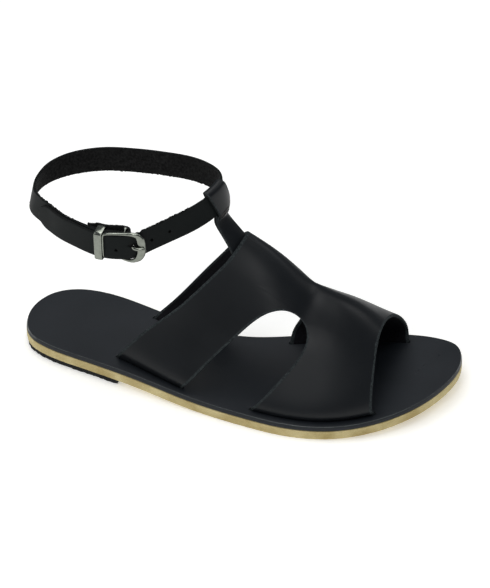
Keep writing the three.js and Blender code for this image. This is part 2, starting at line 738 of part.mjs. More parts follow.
function makeTeeStrap() {
  const apex = backEdge[5].along * soleLength;
  const depth = upperWall + teeUnderGap + teeThickness / 2;
  const closed = (teeThickness + strapGap) / 2 + 0.05;
  const edge = strapWidth / 2;
  const across = teeRows.map((share) => share * teeWidth);
  const widen = teeFootWidth / teeWidth;
  const glued = (distance) => across.map((w) => (
    underUpper(apex + distance + w * teeSkew, teeCentre + w * widen, depth)));
  // The loop leans forward as it comes down from the strap's upper edge.
  const lean = (up) => teeLean * (teeLeanFrom - up);
  const loop = (outward, up) => across.map((w) => teeLoopPoint(w + lean(up), outward, up));
  const grid = evenly(teeUnder, 0, 4).map(glued);
  const foot = [glued(2), glued(0)];
  const head = [loop(-closed, -edge - teeFlap), loop(-closed, -edge - teeFlap + 1)];
  const steps = 7;
  for (let k = 1; k < steps; k += 1) {
    const t = k / steps;
    const t2 = t * t;
    const t3 = t2 * t;
    grid.push(across.map((w, j) => {
      const from = foot[1][j];
      const to = head[0][j];
      const reach = from.distanceTo(to);
      const start = from.clone().sub(foot[0][j]).setLength(0.3 * reach);
      const end = head[1][j].clone().sub(to).setLength(0.45 * reach);
      return from.clone().multiplyScalar(2 * t3 - 3 * t2 + 1)
        .addScaledVector(start, t3 - 2 * t2 + t)
        .addScaledVector(to, 3 * t2 - 2 * t3)
        .addScaledVector(end, t3 - t2);
    }));
  }
  // Below the ankle strap the two layers close up, beside it they stand clear of it.
  const profile = [
    [closed, -edge - teeFlap], [1.1 * closed, -edge - 0.65 * teeFlap],
    [0.8 * teeStep, -edge - 0.3 * teeFlap], [teeStep, -edge + 0.6], [teeStep, 0], [teeStep, edge],
  ];
  for (const [outward, up] of profile) grid.push(loop(-outward, up));
  const turns = 6;
  for (let k = 1; k < turns; k += 1) {
    const angle = (k / turns) * Math.PI;
    grid.push(loop(-teeStep * Math.cos(angle), edge + teeStep * Math.sin(angle)));
  }
  for (const [outward, up] of profile.reverse()) grid.push(loop(outward, up));
  return thickGrid(grid, teeThickness);
}

// Axes of a metal piece on the strap: a in front of it along the ring, o outward, h up.
function strapAxes(share) {
  const { point, out, run } = ringAtShare(share);
  return (a, o, h) => ringPlace(
    point.x + run.x * a + out.x * o,
    point.y + run.y * a + out.y * o,
    h,
  );
}
const buckleAxes = strapAxes(barShare);

// Outer face of the free end over a place a mm in front of the bar, in the buckle's axes.
function freeFaceAt(a) {
  const here = ringAtShare(barShare);
  const there = ringAtShare(barShare + a / ringRound);
  return there.point.clone()
    .addScaledVector(there.out, freeOffset(a) + strapThickness / 2)
    .sub(here.point).dot(here.out);
}
const railOffset = Math.max(freeFaceAt(-rearReach), freeFaceAt(0), freeFaceAt(frontReach / 2))
  + metalGap + railThickness / 2;
const railHeight = strapWidth / 2 + metalGap + sideRailWidth / 2;

// Half of the frame's middle line, front rail first. a: share of the reach, h: share of
// railHeight, width: share of frontRailWidth, lift: share of railOffset.
const frameHalf = [
  { a: 1.00, h: 0.00, width: 1.00, lift: 0.97 }, { a: 0.99, h: 0.30, width: 1.00, lift: 0.97 },
  { a: 0.92, h: 0.60, width: 0.92, lift: 0.97 }, { a: 0.74, h: 0.84, width: 0.74, lift: 0.92 },
  { a: 0.47, h: 0.97, width: 0.56, lift: 0.70 }, { a: 0.15, h: 1.00, width: 0.48, lift: 0.36 },
  { a: -0.20, h: 1.00, width: 0.43, lift: 0.26 }, { a: -0.55, h: 1.00, width: 0.40, lift: 0.46 },
  { a: -0.85, h: 0.99, width: 0.36, lift: 0.86 }, { a: -0.98, h: 0.90, width: 0.33, lift: 1.00 },
  { a: -1.00, h: 0.70, width: 0.33, lift: 1.00 }, { a: -1.00, h: 0.35, width: 0.33, lift: 1.00 },
  { a: -1.00, h: 0.00, width: 0.33, lift: 1.00 },
];
// A bar's section with its long corners taken off: across and through, as half shares.
const railSection = [
  [1, 0.45], [0.62, 1], [-0.62, 1], [-1, 0.45], [-1, -0.45], [-0.62, -1], [0.62, -1], [1, -0.45],
];

function makeFrame() {
  const mirrored = frameHalf.slice(1, -1).reverse().map((row) => ({ ...row, h: -row.h }));
  const path = [...frameHalf, ...mirrored].map((row) => ({
    a: row.a * (row.a > 0 ? frontReach : rearReach),
    h: row.h * railHeight,
    o: row.lift * railOffset,
    width: row.width * frontRailWidth,
  }));
  const rings = path.map((p, i) => {
    const next = path[(i + 1) % path.length];
    const last = path[(i + path.length - 1) % path.length];
    const run = new THREE.Vector2(next.a - last.a, next.h - last.h).normalize();
    return railSection.map(([u, v]) => buckleAxes(
      p.a - run.y * u * p.width / 2,
      p.o + v * railThickness / 2,
      p.h + run.x * u * p.width / 2,
    ));
  });
  const rail = toManifold(rodBody(rings, true));
  const rod = (from, to, radius) => {
    const axis = to.clone().sub(from);
    const cylinder = new THREE.CylinderGeometry(radius, radius, axis.length(), 12);
    cylinder.applyQuaternion(new THREE.Quaternion()
      .setFromUnitVectors(new THREE.Vector3(0, 1, 0), axis.clone().normalize()));
    const middle = from.clone().add(to).multiplyScalar(0.5);
    return toManifold(cylinder.translate(middle.x, middle.y, middle.z));
  };
  let frame = rail.add(rod(buckleAxes(0, barOffset, -railHeight),
    buckleAxes(0, barOffset, railHeight), barRadius));
  for (const side of [-1, 1]) {
    const h = side * railHeight;
    frame = frame.add(rod(buckleAxes(0, barOffset - barRadius, h),
      buckleAxes(0, 0.28 * railOffset, h), barRadius));
  }
  return fromManifold(frame);
}

function makeProng() {
  const eye = barRadius + strapGap + prongRadius;
  const top = 0.97 * railOffset + railThickness / 2 + strapGap + prongRadius;
  const path = [];
  for (let angle = 325; angle > 90; angle -= 39) {
    const turn = THREE.MathUtils.degToRad(angle);
    path.push([eye * Math.cos(turn), barOffset + eye * Math.sin(turn)]);
  }
  const hole = holeStart + holeLength / 2;
  path.push([0.25 * hole, barOffset + eye], [0.6 * hole, barOffset + eye + 0.7]);
  path.push([hole, freeFaceAt(hole) - strapThickness / 2],
    [1.4 * hole, top - 2 * prongRadius]);
  path.push([1.8 * hole, top - prongDip], [frontReach, top]);
  path.push([frontReach + prongPastRail, top - prongDip]);
  const sides = 8;
  const rings = path.map(([a, o], i) => {
    const next = path[Math.min(i + 1, path.length - 1)];
    const last = path[Math.max(i - 1, 0)];
    const run = new THREE.Vector2(next[0] - last[0], next[1] - last[1]).normalize();
    const radius = prongRadius * (i === path.length - 1 ? 0.7 : 1);
    return Array.from({ length: sides }, (_, k) => {
      const turn = (k / sides) * 2 * Math.PI;
      const side = radius * Math.cos(turn);
      return buckleAxes(a - run.y * side, o + run.x * side, radius * Math.sin(turn));
    });
  });
  return rodBody(rings, false);
}

function makeKeeper() {
  const axes = strapAxes(barShare - keeperAlong / ringRound);
  const depth = [
    -(strapThickness / 2 + metalGap + keeperWall / 2),
    layerStep + strapThickness / 2 + metalGap + keeperWall / 2,
  ];
  const halfHeight = strapWidth / 2 + metalGap + keeperWall / 2;
  const corner = 1.3;
  const path = [];
  const cornerSteps = 3;
  for (let quarter = 0; quarter < 4; quarter += 1) {
    const front = quarter === 0 || quarter === 3;
    const up = quarter < 2 ? 1 : -1;
    for (let k = 0; k <= cornerSteps; k += 1) {
      const turn = (quarter + k / cornerSteps) * Math.PI / 2;
      path.push([
        (front ? depth[1] - corner : depth[0] + corner) + corner * Math.cos(turn),
        up * (halfHeight - corner) + corner * Math.sin(turn),
      ]);
    }
  }
  const rings = path.map(([o, h], i) => {
    const next = path[(i + 1) % path.length];
    const last = path[(i + path.length - 1) % path.length];
    const run = new THREE.Vector2(next[0] - last[0], next[1] - last[1]).normalize();
    return railSection.map(([u, v]) => axes(
      u * keeperWidth / 2,
      o + run.y * v * keeperWall / 2,
      h - run.x * v * keeperWall / 2,
    ));
  });
  return rodBody(rings, true);
}

const meshes = new THREE.Group();
function addPiece(name, geometry, colour, roughness, metalness) {
  const material = new THREE.MeshStandardMaterial({ color: colour, roughness, metalness });
  const mesh = new THREE.Mesh(facingOut(geometry), material);
  mesh.name = name;
  meshes.add(mesh);
  return mesh;
}

addPiece('heel_lift', makeLift(), 0x1c1d1e, 0.85, 0);
addPiece('outsole', makeOutsole(), 0xa2926a, 0.8, 0);
addPiece('footbed', makeFootbed(), 0x303437, 0.55, 0);
addPiece('upper', makeUpper(), 0x212528, 0.45, 0);

addPiece('t_strap', makeTeeStrap(), 0x26292b, 0.5, 0);
addPiece('ankle_strap', makeAnkleStrap(), 0x2b2f2e, 0.5, 0);
addPiece('buckle_frame', makeFrame(), 0x8f958b, 0.28, 1);
addPiece('prong', makeProng(), 0x8f958b, 0.25, 1);
addPiece('keeper', makeKeeper(), 0x8f958b, 0.3, 1);

// The origin is under the middle of the whole sandal, on the floor.
const bounds = new THREE.Box3().setFromObject(meshes);
for (const mesh of meshes.children) {
  mesh.position.set(
    -(bounds.min.x + bounds.max.x) / 2,
    -(bounds.min.y + bounds.max.y) / 2,
    -bounds.min.z,
  );
}

export default meshes;
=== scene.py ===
import json
import math
import random

import bpy
from mathutils import Matrix, Vector, kdtree

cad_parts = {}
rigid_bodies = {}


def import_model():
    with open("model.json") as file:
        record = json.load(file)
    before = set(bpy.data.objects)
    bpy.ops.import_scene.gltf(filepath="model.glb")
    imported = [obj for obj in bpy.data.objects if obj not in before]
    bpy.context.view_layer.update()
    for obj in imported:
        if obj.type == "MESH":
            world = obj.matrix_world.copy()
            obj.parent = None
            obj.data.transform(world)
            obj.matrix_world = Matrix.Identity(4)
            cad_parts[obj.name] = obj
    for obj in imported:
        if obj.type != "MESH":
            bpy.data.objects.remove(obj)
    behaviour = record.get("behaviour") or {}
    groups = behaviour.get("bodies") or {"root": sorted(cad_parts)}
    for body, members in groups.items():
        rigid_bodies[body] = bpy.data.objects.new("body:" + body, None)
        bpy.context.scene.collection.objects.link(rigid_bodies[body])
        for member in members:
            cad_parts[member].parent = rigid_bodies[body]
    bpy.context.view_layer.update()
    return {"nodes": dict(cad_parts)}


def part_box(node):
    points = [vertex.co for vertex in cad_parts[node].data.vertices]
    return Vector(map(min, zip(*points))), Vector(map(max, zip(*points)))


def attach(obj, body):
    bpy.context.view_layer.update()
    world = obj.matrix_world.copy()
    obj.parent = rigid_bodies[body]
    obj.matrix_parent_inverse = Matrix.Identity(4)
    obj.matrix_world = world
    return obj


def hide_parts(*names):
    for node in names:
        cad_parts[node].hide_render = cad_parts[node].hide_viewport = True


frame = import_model()
mm = 0.001
bpy.ops.object.select_all(action="DESELECT")
print("frame loaded:", sorted(frame["nodes"]))


# helpers for colours, nodes and pieces

def hexColour(code):
    parts = [int(code[i:i + 2], 16) / 255 for i in (0, 2, 4)]
    linear = [c / 12.92 if c <= 0.04045 else ((c + 0.055) / 1.055) ** 2.4 for c in parts]
    return (*linear, 1.0)


def addNode(tree, kind, settings=None, inputs=None, links=None):
    node = tree.nodes.new(kind)
    for name, value in (settings or {}).items():
        setattr(node, name, value)
    for name, value in (inputs or {}).items():
        node.inputs[name].default_value = value
    for name, source in (links or {}).items():
        tree.links.new(source, node.inputs[name])
    return node


def newMaterial(name):
    material = bpy.data.materials.new(name)
    material.use_nodes = True
    tree = material.node_tree
    shader = tree.nodes["Principled BSDF"]
    place = addNode(tree, "ShaderNodeTexCoord").outputs["Object"]
    return material, tree, shader, place


def perMm(size):
    return 1 / (size * mm)          # a pattern's scale from its real size


def activate(piece):
    bpy.ops.object.select_all(action="DESELECT")
    piece.select_set(True)
    bpy.context.view_layer.objects.active = piece


copyValues = {"merge": 0.002, "sliver": 0.03, "quadAngle": 60}


def copyOf(node, name, quads=True):
    # a copy of a solid's mesh, its loose triangles merged, ready to be rounded and dressed
    piece = bpy.data.objects.new(name, frame["nodes"][node].data.copy())
    piece.data.name = name
    piece.data.materials.clear()
    bpy.context.scene.collection.objects.link(piece)
    activate(piece)
    bpy.ops.object.mode_set(mode="EDIT")
    bpy.ops.mesh.customdata_custom_splitnormals_clear()
    bpy.ops.mesh.select_all(action="SELECT")
    bpy.ops.mesh.remove_doubles(threshold=copyValues["merge"] * mm)
    bpy.ops.mesh.dissolve_degenerate(threshold=copyValues["sliver"] * mm)
    if quads:
        limit = math.radians(copyValues["quadAngle"])
        bpy.ops.mesh.tris_convert_to_quads(face_threshold=limit, shape_threshold=limit)
    bpy.ops.object.mode_set(mode="OBJECT")
    return piece


def applyModifier(piece, kind, **settings):
    activate(piece)
    modifier = piece.modifiers.new(kind.lower(), kind)
    for name, value in settings.items():
        setattr(modifier, name, value)
    bpy.ops.object.modifier_apply(modifier=modifier.name)


def roundOff(piece, width, levels, angle=50, segments=2, slot=-1):
    # slot is the material of the rounded corners, -1 to leave them as their sides are
    applyModifier(piece, "BEVEL", width=width * mm, segments=segments, limit_method="ANGLE",
                  angle_limit=math.radians(angle), use_clamp_overlap=True, miter_outer="MITER_ARC",
                  material=slot)
    applyModifier(piece, "SUBSURF", levels=levels, render_levels=levels)
    activate(piece)
    bpy.ops.object.shade_smooth()


def bestFace(piece, test, score):
    return max((p for p in piece.data.polygons if test(p)), key=score).index


def paintSides(piece, seeds, restSlot, angle=48):
    # each seed's side, as far as the next sharp edge, takes its slot and all the rest restSlot
    activate(piece)
    mesh = piece.data
    for polygon in mesh.polygons:
        polygon.material_index = restSlot
    bpy.ops.object.mode_set(mode="EDIT")
    bpy.ops.mesh.select_mode(type="EDGE")
    bpy.ops.mesh.select_all(action="DESELECT")
    bpy.ops.mesh.edges_select_sharp(sharpness=math.radians(angle))
    bpy.ops.mesh.mark_seam(clear=False)
    for slot, seed in seeds:
        bpy.ops.mesh.select_mode(type="FACE")
        bpy.ops.mesh.select_all(action="DESELECT")
        bpy.ops.object.mode_set(mode="OBJECT")
        mesh.polygons[seed].select = True
        bpy.ops.object.mode_set(mode="EDIT")
        bpy.ops.mesh.select_linked(delimit={"SEAM"})
        piece.active_material_index = slot
        bpy.ops.object.material_slot_assign()
    bpy.ops.mesh.select_all(action="DESELECT")
    bpy.ops.object.mode_set(mode="OBJECT")


def dress(piece, *materials):
    for material in materials:
        piece.data.materials.append(material)


def moveCorners(piece, rule):
    for vertex in piece.data.vertices:
        vertex.co = rule(vertex.co.copy())
    piece.data.update()


def smoothRamp(value, start, end):
    t = min(max((value - start) / (end - start), 0), 1)
    return t * t * (3 - 2 * t)


def newPiece(name, corners, faces, *materials):
    mesh = bpy.data.meshes.new(name)
    mesh.from_pydata([tuple(c) for c in corners], [], faces)
    piece = bpy.data.objects.new(name, mesh)
    bpy.context.scene.collection.objects.link(piece)
    dress(piece, *materials)
    activate(piece)
    bpy.ops.object.mode_set(mode="EDIT")
    bpy.ops.mesh.select_all(action="SELECT")
    bpy.ops.mesh.normals_make_consistent(inside=False)
    bpy.ops.object.mode_set(mode="OBJECT")
    bpy.ops.object.shade_smooth()
    return piece


def joinPieces(pieces):
    activate(pieces[0])
    for piece in pieces[1:]:
        piece.select_set(True)
    bpy.ops.object.join()
    return pieces[0]


def curveThrough(rows, closed, steps):
    # a smooth run of rows through the given ones, every number of a row alike
    count = len(rows)
    out = []
    for i in range(count if closed else count - 1):
        pick = [rows[(i + k) % count] if closed else rows[min(max(i + k, 0), count - 1)]
                for k in (-1, 0, 1, 2)]
        for k in range(steps):
            t = k / steps
            out.append([0.5 * (2 * b + (c - a) * t + (2 * a - 5 * b + 4 * c - d) * t * t
                        + (3 * b - a - 3 * c + d) * t ** 3) for a, b, c, d in zip(*pick)])
    if not closed:
        out.append(list(rows[-1]))
    return out


def sweep(name, places, sides, sizes, closed, material, corner=2.0, count=16):
    # a bar along the places: sides point across it, sizes are its half width and half thickness,
    # and its section is round at corner 2 and squarer above
    corners = []
    last = len(places) - 1
    for i, (place, side, size) in enumerate(zip(places, sides, sizes)):
        ahead = places[(i + 1) % len(places)] if closed else places[min(i + 1, last)]
        behind = places[i - 1] if closed else places[max(i - 1, 0)]
        run = (ahead - behind).normalized()
        through = (side - run * side.dot(run)).normalized()
        across = run.cross(through)
        for k in range(count):
            turn = 2 * math.pi * k / count
            c, s = math.cos(turn), math.sin(turn)
            u = math.copysign(abs(c) ** (2 / corner), c) * size[0]
            v = math.copysign(abs(s) ** (2 / corner), s) * size[1]
            corners.append(place + across * u + through * v)
    rings = len(places)
    faces = []
    for i in range(rings if closed else rings - 1):
        j = (i + 1) % rings
        for k in range(count):
            m = (k + 1) % count
            faces.append((i * count + k, i * count + m, j * count + m, j * count + k))
    if not closed:
        faces.append(tuple(range(count)))
        faces.append(tuple((rings - 1) * count + k for k in range(count)))
    return newPiece(name, corners, faces, material)


def onPiece(piece, px, py):
    # the place and normal of a piece's surface where the photograph shows a detail
    hit, place, normal, _ = piece.ray_cast(camera.location, towards(px, py))
    if not hit:
        raise RuntimeError("no surface of %s at %s, %s" % (piece.name, px, py))
    return place, normal


def faceAt(piece, px, py):
    return piece.ray_cast(camera.location, towards(px, py))[3]


creaseReach = 3     # a crease dies out this many times its width away


def press(piece, pixels, width, depth):
    # a crease pressed into the surface along a line of the photograph, or raised where depth is less
    # than nothing
    line = [onPiece(piece, px, py) for px, py in pixels]
    for vertex in piece.data.vertices:
        best = None
        for (a, na), (b, nb) in zip(line, line[1:]):
            run = b - a
            t = min(max((vertex.co - a).dot(run) / run.length_squared, 0), 1)
            gap = (vertex.co - a - run * t).length
            if best is None or gap < best[0]:
                best = (gap, na.lerp(nb, t))
        if best[0] < creaseReach * width * mm:
            fall = math.exp(-(best[0] / (width * mm)) ** 2)
            vertex.co -= best[1].normalized() * depth * mm * fall
    piece.data.update()


def roughen(piece, slot, size, strength, inside=None):
    # lifts and sinks the faces of one slot by a cloud pattern, for torn fibre and ground rubber,
    # coarser than the real ones so that it shows
    group = piece.vertex_groups.new(name="rough")
    corners = {v for p in piece.data.polygons if p.material_index == slot
               and (inside is None or inside(p)) for v in p.vertices}
    group.add(sorted(corners), 1.0, "REPLACE")
    clouds = bpy.data.textures.new(piece.name + "Clouds", "CLOUDS")
    clouds.noise_scale = size * mm
    clouds.noise_depth = 1
    applyModifier(piece, "DISPLACE", texture=clouds, vertex_group="rough", mid_level=0.5,
                  strength=strength * mm, direction="NORMAL", texture_coords="LOCAL")
    piece.vertex_groups.clear()


calmValues = {"wallNormal": 0.5, "factor": 0.5}


def calm(piece, isSkin, margin, rounds):
    # evens out the skin where the solid's faces meet unevenly, and leaves its edges as they are
    skin = {v for p in piece.data.polygons if isSkin(p) for v in p.vertices}
    edge = sorted({v for p in piece.data.polygons for v in p.vertices
                   if not isSkin(p) and abs(p.normal.z) < calmValues["wallNormal"]})
    tree = kdtree.KDTree(len(edge))
    for index in edge:
        tree.insert(piece.data.vertices[index].co, index)
    tree.balance()
    inner = [v for v in sorted(skin) if tree.find(piece.data.vertices[v].co)[2] > margin * mm]
    group = piece.vertex_groups.new(name="skin")
    group.add(inner, 1.0, "REPLACE")
    applyModifier(piece, "SMOOTH", factor=calmValues["factor"], iterations=rounds,
                  vertex_group="skin")
    piece.vertex_groups.clear()


def finishPiece(piece, slotName, *nodes):
    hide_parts(*nodes)
    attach(piece, "root")
    print("made", piece.name, sum(len(p.vertices) - 2 for p in piece.data.polygons), "triangles")


# camera, at the photograph's angle

cameraValues = {"lookAlong": 111.32, "lookAcross": 69.56, "distance": 1300, "lens": 132.76,
                "back": (0.2402, -0.7617, 0.6018), "sensor": 36, "clip": (0.05, 20)}
soleLow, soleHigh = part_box("outsole")
lookAt = Vector((soleLow.x + cameraValues["lookAlong"] * mm,
                 (soleLow.y + soleHigh.y) / 2 + cameraValues["lookAcross"] * mm, 0))
back = Vector(cameraValues["back"]).normalized()
cameraData = bpy.data.cameras.new("camera")
camera = bpy.data.objects.new("camera", cameraData)
bpy.context.scene.collection.objects.link(camera)
camera.location = lookAt + back * cameraValues["distance"] * mm
camera.rotation_mode = "QUATERNION"
camera.rotation_quaternion = (-back).to_track_quat("-Z", "Y")
cameraData.lens = cameraValues["lens"]
cameraData.sensor_width = cameraValues["sensor"]
cameraData.clip_start, cameraData.clip_end = cameraValues["clip"]
bpy.context.scene.camera = camera
bpy.context.scene.view_settings.view_transform = "Standard"
bpy.context.view_layer.update()
photoSize = (490, 588)


def towards(px, py):
    # the ray from the camera through a place in the photograph's frame
    half = cameraData.sensor_width / 2 / cameraData.lens
    long = max(photoSize)
    x = (px - photoSize[0] / 2) / (long / 2) * half
    y = (photoSize[1] / 2 - py) / (long / 2) * half
    return (camera.rotation_quaternion @ Vector((x, y, -1))).normalized()


# floor, world and lights

lightValues = {"world": 0.19, "worldColour": "f2f7ff", "floor": "fafaf8", "floorGlow": 0.34,
               "floorSize": 12, "floorRoughness": 0.9, "aim": (0, 0, 40)}
# turn and rise in degrees round the sandal, distances and sizes in metres, power in watts
lamps = [
    {"name": "frontBox", "turn": -95, "rise": 39, "away": 1.7, "size": (0.5, 0.3), "power": 4.5},
    {"name": "farBox", "turn": 120, "rise": 62, "away": 1.8, "size": (1.2, 0.6), "power": 5},
    {"name": "rightBox", "turn": 38, "rise": 50, "away": 1.8, "size": (0.6, 0.6), "power": 3},
    {"name": "overheadBox", "turn": 190, "rise": 82, "away": 1.7, "size": (1.3, 1.3), "power": 12},
    {"name": "leftBox", "turn": 196, "rise": 28, "away": 1.7, "size": (0.7, 0.9), "power": 2},
]

world = bpy.data.worlds.new("studio")
world.use_nodes = True
worldShader = world.node_tree.nodes["Background"]
worldShader.inputs["Color"].default_value = hexColour(lightValues["worldColour"])
worldShader.inputs["Strength"].default_value = lightValues["world"]
bpy.context.scene.world = world

for lamp in lamps:
    data = bpy.data.lights.new(lamp["name"], "AREA")
    data.shape = "RECTANGLE"
    data.size, data.size_y = lamp["size"]
    data.energy = lamp["power"]
    lampObject = bpy.data.objects.new(lamp["name"], data)
    bpy.context.scene.collection.objects.link(lampObject)
    turn, rise = math.radians(lamp["turn"]), math.radians(lamp["rise"])
    target = Vector(lightValues["aim"]) * mm
    lampObject.location = target + lamp["away"] * Vector(
        (math.cos(rise) * math.cos(turn), math.cos(rise) * math.sin(turn), math.sin(rise)))
    aim = target - lampObject.location
    lampObject.rotation_mode = "QUATERNION"
    lampObject.rotation_quaternion = aim.to_track_quat("-Z", "Y")

bpy.ops.mesh.primitive_plane_add(size=lightValues["floorSize"], location=(0, 0, 0))
floor = bpy.context.object
floor.name = "floor"
# matt white paint that glows a little, so the floor stays white as far as it is seen
floorMaterial, _, floorShader, _ = newMaterial("paintedStudioFloor")
floorShader.inputs["Base Color"].default_value = hexColour(lightValues["floor"])
floorShader.inputs["Roughness"].default_value = lightValues["floorRoughness"]
floorShader.inputs["Emission Color"].default_value = hexColour(lightValues["floor"])
floorShader.inputs["Emission Strength"].default_value = lightValues["floorGlow"]
dress(floor, floorMaterial)
print("camera, lights and floor placed")


# materials

def leatherMaterial(name, v):
    # Vegetable-tanned cowhide with a black waxed finish: soft gloss, a fine pebble and a few
    # cloudy patches where the wax lies thicker.
    material, tree, shader, place = newMaterial(name)
    cloud = addNode(tree, "ShaderNodeTexNoise", inputs={"Scale": perMm(v["patch"]), "Detail": 3.0},
                    links={"Vector": place})
    tone = addNode(tree, "ShaderNodeMix", {"data_type": "RGBA"},
                   {"A": hexColour(v["dark"]), "B": hexColour(v["light"])},
                   {"Factor": cloud.outputs["Fac"]})
    tree.links.new(tone.outputs["Result"], shader.inputs["Base Color"])
    gloss = addNode(tree, "ShaderNodeMapRange", inputs={"From Min": 0.3, "From Max": 0.7,
                    "To Min": v["roughLow"], "To Max": v["roughHigh"]},
                    links={"Value": cloud.outputs["Fac"]})
    tree.links.new(gloss.outputs["Result"], shader.inputs["Roughness"])
    pebble = addNode(tree, "ShaderNodeTexVoronoi", {"feature": "SMOOTH_F1"},
                     {"Scale": perMm(v["pebble"]), "Smoothness": 0.6}, {"Vector": place})
    pores = addNode(tree, "ShaderNodeTexNoise", inputs={"Scale": perMm(v["pore"]), "Detail": 2.0},
                    links={"Vector": place})
    drape = addNode(tree, "ShaderNodeTexNoise", inputs={"Scale": perMm(v["drape"]), "Detail": 1.0},
                    links={"Vector": place})
    broad = addNode(tree, "ShaderNodeBump", inputs={"Strength": v["drapeStrength"],
                    "Distance": v["drapeDepth"] * mm}, links={"Height": drape.outputs["Fac"]})
    coarse = addNode(tree, "ShaderNodeBump", inputs={"Strength": v["pebbleStrength"],
                     "Distance": v["pebbleDepth"] * mm},
                     links={"Height": pebble.outputs["Distance"], "Normal": broad.outputs["Normal"]})
    fine = addNode(tree, "ShaderNodeBump", inputs={"Strength": v["poreStrength"],
                   "Distance": v["poreDepth"] * mm},
                   links={"Height": pores.outputs["Fac"], "Normal": coarse.outputs["Normal"]})
    tree.links.new(fine.outputs["Normal"], shader.inputs["Normal"])
    shader.inputs["IOR"].default_value = 1.45
    shader.inputs["Specular IOR Level"].default_value = v["specular"]
    shader.inputs["Coat Weight"].default_value = v["coat"]
    shader.inputs["Coat Roughness"].default_value = v["coatRoughness"]
    return material


def fleshMaterial(name, v):
    # The raw back of the hide, dyed through: matt, with short torn fibres that catch light.
    material, tree, shader, place = newMaterial(name)
    nap = addNode(tree, "ShaderNodeTexNoise", inputs={"Scale": perMm(v["nap"]), "Detail": 4.0,
                  "Roughness": 0.7}, links={"Vector": place})
    ramp = addNode(tree, "ShaderNodeMapRange", inputs={"From Min": 0.38, "From Max": 0.66},
                   links={"Value": nap.outputs["Fac"]})
    tone = addNode(tree, "ShaderNodeMix", {"data_type": "RGBA"},
                   {"A": hexColour(v["dark"]), "B": hexColour(v["light"])},
                   {"Factor": ramp.outputs["Result"]})
    tree.links.new(tone.outputs["Result"], shader.inputs["Base Color"])
    bump = addNode(tree, "ShaderNodeBump", inputs={"Strength": v["strength"],
                   "Distance": v["depth"] * mm}, links={"Height": nap.outputs["Fac"]})
    tree.links.new(bump.outputs["Normal"], shader.inputs["Normal"])
    shader.inputs["Roughness"].default_value = 0.92
    shader.inputs["Specular IOR Level"].default_value = 0.15
    shader.inputs["Sheen Weight"].default_value = v["sheen"]
    shader.inputs["Sheen Roughness"].default_value = 0.5
    return material


def rawEdgeMaterial(name, v):
    # Thick undyed sole leather cut square: packed fibres in thin lines along the edge,
    # with small darker pits.
    material, tree, shader, place = newMaterial(name)
    flat = addNode(tree, "ShaderNodeMapping", inputs={"Scale": (1, 1, v["squash"])},
                   links={"Vector": place})
    fibre = addNode(tree, "ShaderNodeTexNoise", inputs={"Scale": perMm(v["fibre"]), "Detail": 4.0,
                    "Roughness": 0.65}, links={"Vector": flat.outputs["Vector"]})
    blotch = addNode(tree, "ShaderNodeTexNoise", inputs={"Scale": perMm(v["blotch"]), "Detail": 2.0},
                     links={"Vector": place})
    both = addNode(tree, "ShaderNodeMath", {"operation": "ADD"},
                   links={0: fibre.outputs["Fac"], 1: blotch.outputs["Fac"]})
    ramp = addNode(tree, "ShaderNodeMapRange", inputs={"From Min": 0.75, "From Max": 1.25},
                   links={"Value": both.outputs["Value"]})
    tone = addNode(tree, "ShaderNodeMix", {"data_type": "RGBA"},
                   {"A": hexColour(v["dark"]), "B": hexColour(v["light"])},
                   {"Factor": ramp.outputs["Result"]})
    tree.links.new(tone.outputs["Result"], shader.inputs["Base Color"])
    bump = addNode(tree, "ShaderNodeBump", inputs={"Strength": 0.5, "Distance": v["depth"] * mm},
                   links={"Height": fibre.outputs["Fac"]})
    tree.links.new(bump.outputs["Normal"], shader.inputs["Normal"])
    shader.inputs["Roughness"].default_value = 0.78
    shader.inputs["Specular IOR Level"].default_value = 0.3
    return material


def rubberMaterial(name, v):
    # Vulcanised rubber sheet, ground at the edge: nearly black, dull, finely pitted.
    material, tree, shader, place = newMaterial(name)
    grit = addNode(tree, "ShaderNodeTexNoise", inputs={"Scale": perMm(v["grit"]), "Detail": 4.0},
                   links={"Vector": place})
    tone = addNode(tree, "ShaderNodeMix", {"data_type": "RGBA"},
                   {"A": hexColour(v["dark"]), "B": hexColour(v["light"])},
                   {"Factor": grit.outputs["Fac"]})
    tree.links.new(tone.outputs["Result"], shader.inputs["Base Color"])
    bump = addNode(tree, "ShaderNodeBump", inputs={"Strength": 0.6, "Distance": v["depth"] * mm},
                   links={"Height": grit.outputs["Fac"]})
    tree.links.new(bump.outputs["Normal"], shader.inputs["Normal"])
    shader.inputs["Roughness"].default_value = 0.8
    shader.inputs["Specular IOR Level"].default_value = 0.3
    return material


def nickelMaterial(name, v):
    # Zinc casting, barrel polished and nickel plated: bright, slightly wavy and softly worn.
    material, tree, shader, place = newMaterial(name)
    wear = addNode(tree, "ShaderNodeTexNoise", inputs={"Scale": perMm(v["wear"]), "Detail": 4.0},
                   links={"Vector": place})
    tone = addNode(tree, "ShaderNodeMix", {"data_type": "RGBA"},
                   {"A": hexColour(v["dark"]), "B": hexColour(v["light"])},
                   {"Factor": wear.outputs["Fac"]})
    tree.links.new(tone.outputs["Result"], shader.inputs["Base Color"])
    gloss = addNode(tree, "ShaderNodeMapRange", inputs={"To Min": v["roughLow"],
                    "To Max": v["roughHigh"]}, links={"Value": wear.outputs["Fac"]})
    tree.links.new(gloss.outputs["Result"], shader.inputs["Roughness"])
    wave = addNode(tree, "ShaderNodeTexNoise", inputs={"Scale": perMm(v["wave"]), "Detail": 1.0},
                   links={"Vector": place})
    bump = addNode(tree, "ShaderNodeBump", inputs={"Strength": 0.4, "Distance": v["depth"] * mm},
                   links={"Height": wave.outputs["Fac"]})
    tree.links.new(bump.outputs["Normal"], shader.inputs["Normal"])
    shader.inputs["Metallic"].default_value = 1.0
    return material


